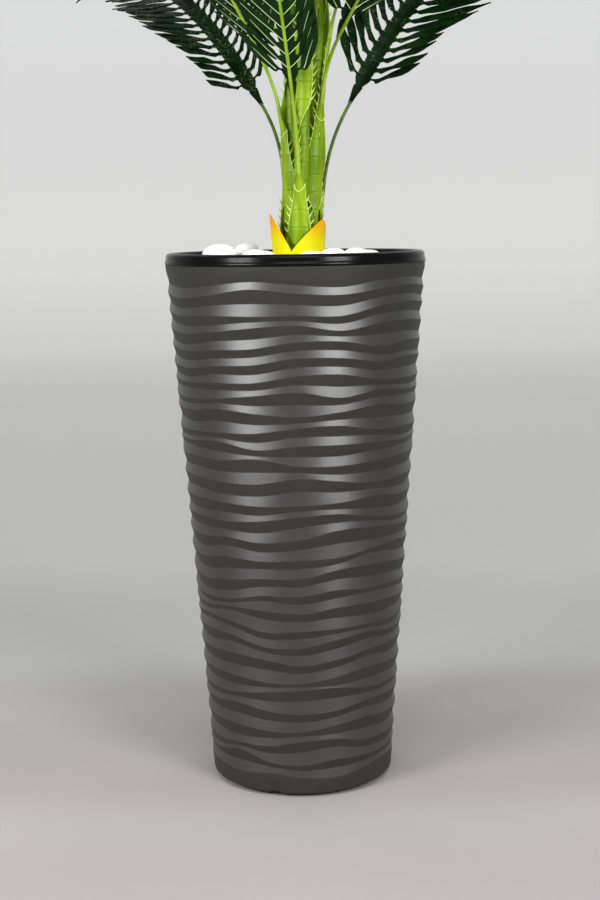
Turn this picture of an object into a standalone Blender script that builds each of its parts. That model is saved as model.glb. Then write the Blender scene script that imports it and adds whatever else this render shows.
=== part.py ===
"""A potted artificial areca palm: a tall tapered planter with a wavy relief, its black liner,
white pebbles, three stems, two yellow bracts, and eighteen fronds on sheathed stalks.

Metres, +Z up. The origin is the middle of the planter's foot, on the floor, and -Y is the front.
"""

import math
import random

import bmesh
import bpy
from mathutils import Vector
from mathutils.bvhtree import BVHTree

CLEAR = 0.0003  # the gap that touching pieces keep

# Planter: a tapered shell whose outside carries wavy bands
POT_HEIGHT = 0.540  # floor to the top of the liner's rim
POT_TOP_RADIUS = 0.1303
POT_FOOT_RADIUS = 0.0928
POT_WALL = 0.0042
POT_FLOOR = 0.012
POT_SIDES = 24
FOOT_ROUND = 0.007
BAND_FIRST = 0.020  # height of the lowest crest
BAND_PITCH = 0.0178
BAND_DEPTH = 0.0020
BAND_SWING = 0.0040  # how far a band rises and falls on its way round
PLAIN_TOP = 0.018  # the smooth collar above the highest band
NOTCH_TURN = math.radians(-112)
NOTCH_WIDTH = 0.015
NOTCH_HEIGHT = 0.0022
NOTCH_REACH = 0.030

# Liner: the inner pot, whose rolled rim lies on the planter
RIM_RADIUS = 0.131
RIM_HEIGHT = 0.011
RIM_WIDTH = 0.010
LINER_WALL = 0.0025
LINER_DEPTH = 0.250
LINER_TAPER = 0.078  # inward for each metre down
ROUND_SIDES = 36

# Filling and pebbles
FILL_TOP = 0.513
PLATE_TOP = 0.519
PEBBLE_LENGTH = 0.036
PEBBLE_SHAPE = (1.0, 0.78, 0.56)  # length, width and height as shares of the length
BED_RINGS = ((0.098, 13), (0.069, 9), (0.044, 6))  # radius and number of stones
BED_MIDDLE = 0.522
TOP_RINGS = ((0.088, 9), (0.052, 5))

# Stems: place at the rim's height, lean per metre, and the height of the tip
STEMS = {
    "right": {"at": (0.0158, 0.0040), "lean": (0.045, 0.012), "top": 1.020},
    "front": {"at": (0.0048, -0.0102), "lean": (0.042, -0.016), "top": 0.985},
    "back": {"at": (-0.0025, 0.0082), "lean": (0.012, 0.040), "top": 0.880},
}
STEM_RADIUS = 0.0063
STEM_TIP_RADIUS = 0.0046
STEM_FLARE = 0.0007
STEM_FOOT = 0.008  # the straight length above the cut
STEM_STEPS = 8

# Sheaths: the clasping foot of each stalk
SHEATH_LENGTH = 0.104
SHEATH_THICK = 0.0013
SHEATH_LIFT = 0.0023  # how far its upper part stands off, over the foot of the next sheath
SHEATH_GAP = 0.0007
SHEATH_SPREAD = math.radians(66)
SHEATH_WIDEST = 0.34  # share of its length below its widest place
SHEATH_NECK = math.radians(20)
SHEATH_FOOT = math.radians(7)
SHEATH_SHARES = (0, 0.1, 0.2, 0.34, 0.6, 1.0)  # where its sections are

# Stalks and blades
PETIOLE_RADIUS = 0.0026
PETIOLE_LEAN = math.radians(9)
RIB_TIP_RADIUS = 0.0010
BLADE_THICK = 0.0012
BLADE_STRIP = 0.008  # half width of the uncut strip along the rib
BLADE_FIRST = 0.05  # share of the blade where the lowest leaflet springs
BLADE_LAST = 0.97
LEAFLETS = 10  # on each side
LEAFLET_LENGTH = 0.108
LEAFLET_SHARE = 0.70  # of the pitch that a leaflet's root takes
LEAFLET_START = math.radians(50)  # off the rib at its root
LEAFLET_END = math.radians(32)
KEEL = math.radians(15)  # each half of a blade rises this much from the rib
BLADE_LIFT = 0.0030  # blade over the rib's axis, so that the rib lies under it

# Fronds: stem, height of the neck, way it faces, lean where the blade starts, roll, stalk to there
FRONDS = (
    ("right", 0.590, 33, 35, 52, 0.116),
    ("back", 0.604, 128, 44, -46, 0.105),
    ("front", 0.606, -101, 32, 0, 0.094),
    ("back", 0.660, -149, 29, 12, 0.074),
    ("right", 0.675, -58, 48, -8, 0.089),
    ("front", 0.700, 174, 36, -6, 0.090),
    ("back", 0.722, 92, 34, 8, 0.100),
    ("right", 0.738, -3, 35, 10, 0.100),
    ("front", 0.764, -118, 28, 6, 0.090),
    ("back", 0.786, 160, 28, -10, 0.095),
    ("right", 0.802, 62, 28, 8, 0.095),
    ("front", 0.828, -72, 25, -6, 0.095),
    ("back", 0.850, 118, 20, 0, 0.095),
    ("right", 0.866, 22, 23, 6, 0.095),
    ("front", 0.892, -158, 20, -6, 0.095),
    ("right", 0.930, -28, 18, 4, 0.095),
    ("front", 0.956, -105, 12, 0, 0.095),
    ("right", 0.994, 70, 5, 0, 0.090),
)
BLADE_LOW = 0.400  # blade length of the lowest frond
BLADE_HIGH = 0.455  # and of the highest
DROOP_LOW = math.radians(62)  # how much further a blade bends over by its tip
DROOP_HIGH = math.radians(26)
SWAY = math.radians(9)  # sideways turn of a frond by its tip

# Bracts: the two yellow scales at the foot. Way each faces, height, half width, tip's tilt
CLUMP = (0.0065, 0.0)
BRACT_RADIUS = 0.0235
BRACT_THICK = 0.0016
BRACT_POINT = 0.55  # share of its height over which it narrows to its point
BRACTS = (("bract_left", -160, 0.064, 64, 9), ("bract_right", -22, 0.058, 66, 3))

COLOURS = {
    "planter grey": ((0.052, 0.052, 0.054), 0.48),
    "liner black": ((0.012, 0.012, 0.012), 0.22),
    "filling": ((0.06, 0.045, 0.035), 0.95),
    "pebble white": ((0.86, 0.86, 0.83), 0.45),
    "stem green": ((0.30, 0.50, 0.035), 0.42),
    "stalk green": ((0.28, 0.48, 0.04), 0.42),
    "leaf green": ((0.012, 0.055, 0.012), 0.40),
    "bract yellow": ((0.90, 0.62, 0.02), 0.40),
}


def clear_scene():
    for obj in list(bpy.data.objects):
        bpy.data.objects.remove(obj)


def make_materials():
    made = {}
    for name, (colour, rough) in COLOURS.items():
        material = bpy.data.materials.new(name)
        material.use_nodes = True
        shader = material.node_tree.nodes["Principled BSDF"]
        shader.inputs["Base Color"].default_value = (*colour, 1)
        shader.inputs["Roughness"].default_value = rough
        made[name] = material
    return made


def smooth(share):
    share = min(1.0, max(0.0, share))
    return share * share * (3 - 2 * share)


def mix(a, b, share):
    return a + (b - a) * share


def polar(radius, turn, height=0.0):
    return Vector((radius * math.cos(turn), radius * math.sin(turn), height))


def place_object(name, data, material):
    obj = bpy.data.objects.new(name, data)
    data.materials.append(material)
    PART.objects.link(obj)
    return obj


def mesh_object(name, bm, material):
    """A named object from a bmesh, smooth but for its folds, with its faces pointing out."""
    bmesh.ops.recalc_face_normals(bm, faces=bm.faces)
    mesh = bpy.data.meshes.new(name)
    bm.to_mesh(mesh)
    bm.free()
    mesh.shade_smooth()
    mesh.set_sharp_from_angle(angle=math.radians(40))
    return place_object(name, mesh, material)


def turned(name, profile, closed, material):
    """A profile of (radius, height) spun about the upright axis."""
    points = [(radius, 0, height) for radius, height in profile]
    edges = [(i, i + 1) for i in range(len(points) - 1)]
    if closed:
        edges.append((len(points) - 1, 0))
    mesh = bpy.data.meshes.new(name)
    mesh.from_pydata(points, edges, [])
    obj = place_object(name, mesh, material)
    spin = obj.modifiers.new("spin", "SCREW")
    spin.steps = ROUND_SIDES
    spin.render_steps = ROUND_SIDES
    spin.use_merge_vertices = True
    spin.merge_threshold = 0.00005
    spin.use_smooth_shade = True
    return obj


def loft(bm, sections):
    """Skins closed rings of points and caps both ends. A ring of half as many points takes pairs."""
    rings = [[bm.verts.new(p) for p in section] for section in sections]
    for low, high in zip(rings, rings[1:]):
        if len(high) == len(low):
            for i in range(len(low)):
                j = (i + 1) % len(low)
                bm.faces.new((low[i], low[j], high[j], high[i]))
            continue
        for k in range(len(high)):
            first, second = low[2 * k], low[2 * k + 1]
            following = low[(2 * k + 2) % len(low)]
            bm.faces.new((first, second, high[k]))
            bm.faces.new((second, following, high[(k + 1) % len(high)], high[k]))
    bm.faces.new(reversed(rings[0]))
    bm.faces.new(rings[-1])


def pot_radius(height):
    """The planter's plain outer radius, before its bands."""
    return mix(POT_FOOT_RADIUS, POT_TOP_RADIUS, height / (POT_HEIGHT - RIM_HEIGHT))


def band_rows():
    """Rows of the planter's outside from the foot up: height, how far in, how far it swings."""
    top = POT_HEIGHT - RIM_HEIGHT - CLEAR
    rows = [(0.0, FOOT_ROUND, 0.0), (FOOT_ROUND * 0.3, FOOT_ROUND * 0.3, 0.0), (FOOT_ROUND, 0.0, 0.0)]
    count = int((top - PLAIN_TOP - BAND_FIRST) / BAND_PITCH)
    for k in range(count):
        crest = BAND_FIRST + k * BAND_PITCH
        swing = BAND_SWING * math.sin(0.9 * k + 0.6)
        rows.append((crest, 0.0, swing))
        rows.append((crest + BAND_PITCH * 0.5, BAND_DEPTH, swing))
    rows.append((top - PLAIN_TOP * 0.6, 0.0, 0.0))
    rows.append((top, 0.0, 0.0))
    return rows


def make_planter(material):
    """One closed shell on a flat underside: the banded outside, the rim's seat, inside and floor."""
    turns = [math.tau * i / POT_SIDES for i in range(POT_SIDES)]
    sections = []
    for number, (height, inset, swing) in enumerate(band_rows()):
        ring = []
        for turn in turns:
            z = height + swing * math.sin(2 * turn + 0.35 * number)
            ring.append(polar(pot_radius(z) - inset, turn, z))
        sections.append(ring)
    top = POT_HEIGHT - RIM_HEIGHT - CLEAR
    inner_foot = pot_radius(POT_FLOOR) - BAND_DEPTH - POT_WALL
    sections.append([polar(POT_TOP_RADIUS - POT_WALL, t, top) for t in turns])
    sections.append([polar(inner_foot, t, POT_FLOOR) for t in turns])
    bm = bmesh.new()
    loft(bm, sections)
    planter = mesh_object("planter", bm, material)
    cut_notch(planter)


def cut_notch(planter):
    """The small arch in the foot's edge, left of the front."""
    bpy.ops.mesh.primitive_cylinder_add(vertices=12, radius=NOTCH_WIDTH / 2, depth=NOTCH_REACH)
    cutter = bpy.context.object
    cutter.name = "notch_cutter"
    cutter.scale = (1, NOTCH_HEIGHT / (NOTCH_WIDTH / 2), 1)
    bpy.ops.object.transform_apply(location=False, rotation=False, scale=True)
    cutter.rotation_euler = (math.pi / 2, 0, NOTCH_TURN - math.pi / 2)
    cutter.location = polar(POT_FOOT_RADIUS - FOOT_ROUND / 2, NOTCH_TURN)
    cutter.hide_render = True
    cutter.display_type = "WIRE"
    for collection in list(cutter.users_collection):
        collection.objects.unlink(cutter)
    CUTTERS.objects.link(cutter)
    cut = planter.modifiers.new("notch", "BOOLEAN")
    cut.operation = "DIFFERENCE"
    cut.object = cutter


def liner_radius(height):
    """The liner's inner radius below its rim."""
    return RIM_RADIUS - RIM_WIDTH - LINER_TAPER * (POT_HEIGHT - height)


def make_liner(material):
    """The black liner: a thin tapered cup with a rolled rim."""
    low = POT_HEIGHT - RIM_HEIGHT
    foot = POT_HEIGHT - LINER_DEPTH
    floor = foot + LINER_WALL
    profile = [(0, floor), (liner_radius(floor), floor), (liner_radius(low), low),
               (RIM_RADIUS - 0.0085, POT_HEIGHT - 0.0014), (RIM_RADIUS - 0.0055, POT_HEIGHT),
               (RIM_RADIUS - 0.0030, POT_HEIGHT - 0.0009), (RIM_RADIUS - 0.0006, POT_HEIGHT - 0.0038),
               (RIM_RADIUS, low + 0.0022), (RIM_RADIUS - 0.0008, low),
               (liner_radius(low) + LINER_WALL, low), (liner_radius(foot) + LINER_WALL, foot), (0, foot)]
    turned("liner", profile, False, material)


def make_filling(material):
    """The firm body inside the liner, up to the pebbles."""
    foot = POT_HEIGHT - LINER_DEPTH + LINER_WALL + CLEAR
    profile = [(0, FILL_TOP), (liner_radius(FILL_TOP) - CLEAR, FILL_TOP),
               (liner_radius(foot) - CLEAR, foot), (0, foot)]
    turned("filling", profile, False, material)


def pebble_mesh(rng, turn, sides):
    """A smooth lopsided stone, its long way along turn, with its middle at the origin."""
    bm = bmesh.new()
    bmesh.ops.create_uvsphere(bm, u_segments=sides, v_segments=sides // 2 + 1, radius=0.5)
    length = PEBBLE_LENGTH * rng.uniform(0.88, 1.08)
    size = Vector([length * share * rng.uniform(0.92, 1.06) for share in PEBBLE_SHAPE])
    lean = rng.uniform(-0.3, 0.3)
    for vert in bm.verts:
        x, y, z = vert.co
        x, y, z = x * size.x, y * size.y * (1 + lean * x), z * size.z * (1 + lean * x)
        vert.co = (x * math.cos(turn) - y * math.sin(turn), x * math.sin(turn) + y * math.cos(turn), z)
    return bm


def ring_place(radius, turn, height):
    """A place in the pebbles: inner rings centre on the clump and outer ones on the planter."""
    share = 1 - radius / liner_radius(FILL_TOP)
    return Vector((CLUMP[0] * share * 2, CLUMP[1], 0)) + polar(radius, turn, height)


def bed_stone(rng, centre, turn):
    """A stone of the lower layer, cut level where it would reach the filling."""
    stone = pebble_mesh(rng, turn, 6)
    bmesh.ops.translate(stone, verts=stone.verts, vec=centre)
    level = (FILL_TOP + PLATE_TOP) / 2
    for vert in stone.verts:
        vert.co.z = max(vert.co.z, level)
    bmesh.ops.recalc_face_normals(stone, faces=stone.faces)
    mesh = bpy.data.meshes.new("bed stone")
    stone.to_mesh(mesh)
    stone.free()
    return bpy.data.objects.new("bed stone", mesh)


def make_pebble_bed(rng, material):
    """The lower layer: stones in rings, fused with a thin plate that lies on the filling."""
    low = FILL_TOP + CLEAR
    inner = BRACT_RADIUS + BRACT_THICK + 0.003
    outer = liner_radius(FILL_TOP) - CLUMP[0] - 0.002
    profile = [(inner, PLATE_TOP), (outer, PLATE_TOP), (outer, low), (inner, low)]
    bed = turned("pebble_bed", profile, True, material)
    bed.location = (*CLUMP, 0)
    stones = bpy.data.collections.new("bed stones")
    for ring, (radius, count) in enumerate(BED_RINGS):
        for i in range(count):
            turn = math.tau * (i + 0.5 * ring) / count
            centre = ring_place(radius, turn, BED_MIDDLE + rng.uniform(-0.001, 0.001))
            stones.objects.link(bed_stone(rng, centre, turn + math.pi / 2))
    join = bed.modifiers.new("stones", "BOOLEAN")
    join.operation = "UNION"
    join.operand_type = "COLLECTION"
    join.collection = stones
    join.solver = "MANIFOLD"
    bpy.context.view_layer.update()
    graph = bpy.context.evaluated_depsgraph_get()
    joined = bpy.data.meshes.new_from_object(bed.evaluated_get(graph))
    bed.modifiers.clear()
    bed.data = joined
    for stone in list(stones.objects):
        bpy.data.objects.remove(stone)
    bpy.data.collections.remove(stones)
    return bed


def surface_points(verts, edges):
    """The corners of a surface and two points along each of its edges."""
    points = list(verts)
    for start, end in edges:
        points += [start.lerp(end, 1 / 3), start.lerp(end, 2 / 3)]
    return points


def stone_points(stone):
    edges = [(edge.verts[0].co, edge.verts[1].co) for edge in stone.edges]
    return surface_points([vert.co.copy() for vert in stone.verts], edges)


def settle(stone, trees, clouds, drop):
    """Lowers a stone from a height until it is just above what lies under it."""
    fall = drop
    below = stone_points(stone)
    for tree in trees:
        for point in below:
            hit = tree.ray_cast(point + Vector((0, 0, drop)), Vector((0, 0, -1)))
            if hit[0] is not None:
                fall = min(fall, hit[3])
    own = BVHTree.FromBMesh(stone)
    for cloud in clouds:
        for point in cloud:
            hit = own.ray_cast(point - Vector((0, 0, drop)), Vector((0, 0, 1)))
            if hit[0] is not None:
                fall = min(fall, hit[3])
    bmesh.ops.translate(stone, verts=stone.verts, vec=(0, 0, drop - fall + CLEAR))


def make_top_pebbles(rng, bed, material):
    """Single stones laid on the bed, each let down until it rests."""
    corners = [bed.location + v.co for v in bed.data.vertices]
    trees = [BVHTree.FromPolygons(corners, [p.vertices[:] for p in bed.data.polygons])]
    edges = [(corners[e.vertices[0]], corners[e.vertices[1]]) for e in bed.data.edges]
    clouds = [surface_points(corners, edges)]
    number = 0
    for radius, count in TOP_RINGS:
        for i in range(count):
            number += 1
            turn = math.tau * (i + 0.35) / count - math.pi / 2
            stone = pebble_mesh(rng, turn + math.pi / 2 + rng.uniform(-0.3, 0.3), 8)
            centre = ring_place(radius + rng.uniform(-0.002, 0.002), turn, FILL_TOP)
            bmesh.ops.translate(stone, verts=stone.verts, vec=centre)
            settle(stone, trees, clouds, 0.1)
            trees.append(BVHTree.FromBMesh(stone))
            clouds.append(stone_points(stone))
            mesh_object(f"pebble_{number:02d}", stone, material)


def stem_point(name, height):
    stem = STEMS[name]
    up = max(height, FILL_TOP + STEM_FOOT) - POT_HEIGHT
    return Vector((stem["at"][0] + stem["lean"][0] * up, stem["at"][1] + stem["lean"][1] * up, height))


def stem_radius(name, height):
    foot = FILL_TOP + CLEAR
    share = (height - foot) / (STEMS[name]["top"] - foot)
    return mix(STEM_RADIUS, STEM_TIP_RADIUS, share) + STEM_FLARE * math.exp((foot - height) / 0.012)


def make_stem(name, material):
    """A tapering stem from its flat cut on the filling to its tip."""
    foot = FILL_TOP + CLEAR
    heights = [foot, FILL_TOP + STEM_FOOT, FILL_TOP + STEM_FOOT * 3]
    heights += [mix(heights[-1], STEMS[name]["top"], (k + 1) / STEM_STEPS) for k in range(STEM_STEPS)]
    curve = bpy.data.curves.new(f"stem_{name}", "CURVE")
    curve.dimensions = "3D"
    curve.bevel_depth = 1.0
    curve.bevel_resolution = 4
    curve.use_fill_caps = True
    spline = curve.splines.new("POLY")
    spline.points.add(len(heights) - 1)
    for point, height in zip(spline.points, heights):
        point.co = (*stem_point(name, height), 1)
        point.radius = stem_radius(name, height)
    place_object(f"stem_{name}", curve, material)


def frond_shape(number):
    """The sizes of one frond. Those that it isn't given follow from its height on the clump."""
    stem, neck, facing, lean, roll, petiole = FRONDS[number]
    share = number / (len(FRONDS) - 1)
    return {
        "stem": stem,
        "neck": neck,
        "facing": math.radians(facing),
        "lean": math.radians(lean),
        "roll": math.radians(roll),
        "petiole": petiole,
        "blade": mix(BLADE_LOW, BLADE_HIGH, share),
        "droop": mix(DROOP_LOW, DROOP_HIGH, share),
        "sway": SWAY * math.sin(2.4 * number + 1.5),
    }


def neck_point(frond):
    """Where the stalk leaves the stem: the middle of the sheath's last section."""
    reach = stem_radius(frond["stem"], frond["neck"]) + SHEATH_GAP + SHEATH_LIFT + PETIOLE_RADIUS * 0.9
    return stem_point(frond["stem"], frond["neck"]) + polar(reach, frond["facing"])


def rib_frames(frond, places):
    """Point, way along, side and upper face of the stalk's axis at rising distances from the neck."""
    point = neck_point(frond)
    total = frond["petiole"] + frond["blade"]
    frames = []
    travelled = 0.0
    for place in places:
        while True:
            blade_share = max(0.0, (travelled - frond["petiole"]) / frond["blade"])
            lean = mix(PETIOLE_LEAN, frond["lean"], smooth(travelled / frond["petiole"]))
            lean += frond["droop"] * blade_share ** 1.5
            outward = polar(1, frond["facing"] + frond["sway"] * (travelled / total) ** 2)
            along = outward * math.sin(lean) + Vector((0, 0, math.cos(lean)))
            if travelled > place - 1e-9:
                break
            move = min(0.004, place - travelled)
            point = point + along * move
            travelled += move
        level = Vector((0, 0, 1)).cross(outward)
        inward = Vector((0, 0, math.sin(lean))) - outward * math.cos(lean)
        roll = frond["roll"] * smooth(travelled / frond["petiole"])
        side = level * math.cos(roll) + inward * math.sin(roll)
        upper = inward * math.cos(roll) - level * math.sin(roll)
        frames.append((point, along, side, upper))
    return frames


def sheath_section(frond, share):
    """Ten points of the clasping sheath: its outer arc, then back along its inner one."""
    height = frond["neck"] - SHEATH_LENGTH * (1 - share)
    height = max(height, FILL_TOP + 0.006 + 0.02 * share)
    centre = stem_point(frond["stem"], height)
    lift = SHEATH_LIFT * smooth((share - SHEATH_WIDEST) / 0.26)
    inner = stem_radius(frond["stem"], height) + SHEATH_GAP + lift
    outer = inner + mix(SHEATH_THICK, PETIOLE_RADIUS * 1.8, smooth((share - 0.7) / 0.3))
    if share < SHEATH_WIDEST:
        half = mix(SHEATH_FOOT, SHEATH_SPREAD, smooth(share / SHEATH_WIDEST))
    else:
        half = mix(SHEATH_SPREAD, SHEATH_NECK, smooth((share - SHEATH_WIDEST) / (1 - SHEATH_WIDEST)))
    turns = [frond["facing"] + half * k for k in (-1, -0.5, 0, 0.5, 1)]
    outer_arc = [centre + polar(outer, turn) for turn in turns]
    inner_arc = [centre + polar(inner, turn) for turn in reversed(turns)]
    return outer_arc + inner_arc


def tube_section(frame, radius):
    """Five points round the stalk, with a corner of them on its outer side."""
    point, _, side, upper = frame
    turns = [math.tau * (k - 1) / 5 - math.pi * 0.3 for k in range(5)]
    return [point + side * radius * math.cos(t) + upper * radius * math.sin(t) for t in turns]


def make_stalk(number, frond, material):
    """Sheath, petiole and rib, as the one moulding that they are."""
    bm = bmesh.new()
    sections = [sheath_section(frond, share) for share in SHEATH_SHARES]
    total = frond["petiole"] + frond["blade"] * 0.93
    places = [0.014, frond["petiole"] * 0.4, frond["petiole"] * 0.7, frond["petiole"]]
    places += [mix(frond["petiole"], total, k / 5) for k in range(1, 6)]
    for place, frame in zip(places, rib_frames(frond, places)):
        sections.append(tube_section(frame, mix(PETIOLE_RADIUS, RIB_TIP_RADIUS, place / total)))
    loft(bm, sections)
    mesh_object(f"stalk_{number + 1:02d}", bm, material)


def leaflet_length(share):
    """A leaflet's length at a share of the way along the blade."""
    rise = mix(0.55, 1.0, smooth(share / 0.3))
    fall = 1 - 0.62 * smooth((share - 0.35) / 0.65)
    return LEAFLET_LENGTH * rise * fall


def leaflet_point(frame, hand, length, share):
    """A point on a leaflet that curves towards the blade's tip and sags. hand is -1 or 1."""
    point, along, side, upper = frame
    turn = mix(LEAFLET_START, LEAFLET_END, share * 0.5)
    forward = length * share * math.cos(turn)
    out = BLADE_STRIP + length * share * math.sin(turn)
    lateral = side * hand * math.cos(KEEL) + upper * math.sin(KEEL)
    sag = upper * (length * 0.10 * share * share)
    return point + upper * BLADE_LIFT + along * forward + lateral * out - sag


def make_blade(number, frond, material):
    """A thin comb-cut blade over its rib: a strip along the rib, with leaflets on each hand."""
    start = frond["petiole"]
    length = frond["blade"]
    pitch = length * (BLADE_LAST - BLADE_FIRST) / LEAFLETS
    places = [start]
    for k in range(LEAFLETS):
        root = start + length * BLADE_FIRST + pitch * k
        places += [root, root + pitch * LEAFLET_SHARE]
    places.append(start + length)
    frames = rib_frames(frond, places)
    bm = bmesh.new()
    spine = [frames[0]] + frames[1:-1:2] + [frames[-1]]
    middles = [bm.verts.new(point + upper * BLADE_LIFT) for point, _, _, upper in spine]
    for hand in (-1, 1):
        before = None
        for k in range(LEAFLETS):
            lower, higher = frames[1 + 2 * k], frames[2 + 2 * k]
            reach = leaflet_length((k + 0.5) / LEAFLETS)
            foot = bm.verts.new(leaflet_point(lower, hand, 0, 0))
            elbow = bm.verts.new(leaflet_point(lower, hand, reach, 0.62))
            tip = bm.verts.new(leaflet_point(higher, hand, reach, 1.0))
            crook = bm.verts.new(leaflet_point(higher, hand, 0, 0))
            centre, following = middles[1 + k], middles[2 + k]
            joint = (centre, before, foot) if before else (middles[0], foot, centre)
            for face in (joint, (centre, foot, crook, following), (foot, elbow, crook), (elbow, tip, crook)):
                bm.faces.new(face)
            before = crook
    blade = mesh_object(f"blade_{number + 1:02d}", bm, material)
    thick = blade.modifiers.new("thickness", "SOLIDIFY")
    thick.thickness = BLADE_THICK
    thick.offset = 0


def make_bract(name, facing, tall, half_width, tilt, material):
    """A pointed cupped scale that clasps the foot of the clump."""
    facing, half_width, tilt = (math.radians(angle) for angle in (facing, half_width, tilt))
    centre = Vector((*CLUMP, 0))
    sections = []
    for share in (0, 1 - BRACT_POINT, 0.63, 0.8, 0.93, 1.0):
        height = FILL_TOP + CLEAR + tall * share
        width = half_width * min(1.0, (1 - share) / BRACT_POINT) + math.radians(1.5)
        reach = BRACT_RADIUS + tall * math.tan(tilt) * share ** 1.6
        turns = [facing + width * k for k in (-1, -0.35, 0.35, 1)]
        outer_arc = [centre + polar(reach + BRACT_THICK, turn, height) for turn in turns]
        inner_arc = [centre + polar(reach, turn, height) for turn in reversed(turns)]
        sections.append(outer_arc + inner_arc)
    bm = bmesh.new()
    loft(bm, sections)
    mesh_object(name, bm, material)


def main():
    clear_scene()
    material = make_materials()
    make_planter(material["planter grey"])
    make_liner(material["liner black"])
    make_filling(material["filling"])
    rng = random.Random(11)
    bed = make_pebble_bed(rng, material["pebble white"])
    make_top_pebbles(rng, bed, material["pebble white"])
    for name in STEMS:
        make_stem(name, material["stem green"])
    for number in range(len(FRONDS)):
        frond = frond_shape(number)
        make_stalk(number, frond, material["stalk green"])
        make_blade(number, frond, material["leaf green"])
    for name, facing, tall, half_width, tilt in BRACTS:
        make_bract(name, facing, tall, half_width, tilt, material["bract yellow"])


PART = bpy.data.collections.new("potted areca palm")
CUTTERS = bpy.data.collections.new("cutters")
bpy.context.scene.collection.children.link(PART)
bpy.context.scene.collection.children.link(CUTTERS)
main()
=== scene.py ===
"""The looks of a potted artificial areca palm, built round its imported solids.

Metres, +Z up, -Y towards the viewer. The fronds, stems and planter follow the rules of the solids,
carried on to finer leaflets, rings, barbs and waves within the same reach.
"""

import random
from math import copysign, cos, degrees, exp, pi, radians, sin, sqrt, tan, tau
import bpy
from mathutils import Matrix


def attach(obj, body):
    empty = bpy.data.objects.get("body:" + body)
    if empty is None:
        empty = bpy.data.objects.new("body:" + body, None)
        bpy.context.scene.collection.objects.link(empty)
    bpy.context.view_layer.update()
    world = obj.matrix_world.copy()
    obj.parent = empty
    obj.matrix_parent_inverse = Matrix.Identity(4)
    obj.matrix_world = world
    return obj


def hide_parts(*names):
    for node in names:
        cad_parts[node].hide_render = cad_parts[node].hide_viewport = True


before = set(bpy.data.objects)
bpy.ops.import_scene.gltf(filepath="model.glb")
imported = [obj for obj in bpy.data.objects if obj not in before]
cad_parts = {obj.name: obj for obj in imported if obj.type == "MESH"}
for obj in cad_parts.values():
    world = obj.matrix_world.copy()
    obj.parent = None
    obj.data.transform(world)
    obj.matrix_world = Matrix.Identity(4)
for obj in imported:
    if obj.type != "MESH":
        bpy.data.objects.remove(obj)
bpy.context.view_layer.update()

from types import SimpleNamespace

import bmesh
import bpy
from mathutils import Matrix, Vector, noise

UP = Vector((0, 0, 1))
CLEAR = 0.0003

# Planter
POT_HEIGHT = 0.540
POT_TOP_RADIUS = 0.1303
POT_FOOT_RADIUS = 0.0928
POT_WALL = 0.0042
POT_FLOOR = 0.012
FOOT_ROUND = 0.007
FOOT_STEP = 0.0010  # the foot's edge hangs this far past the ring it stands on, FOOT_GAP above the floor
FOOT_GAP = 0.0026
RIM_HEIGHT = 0.011
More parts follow.
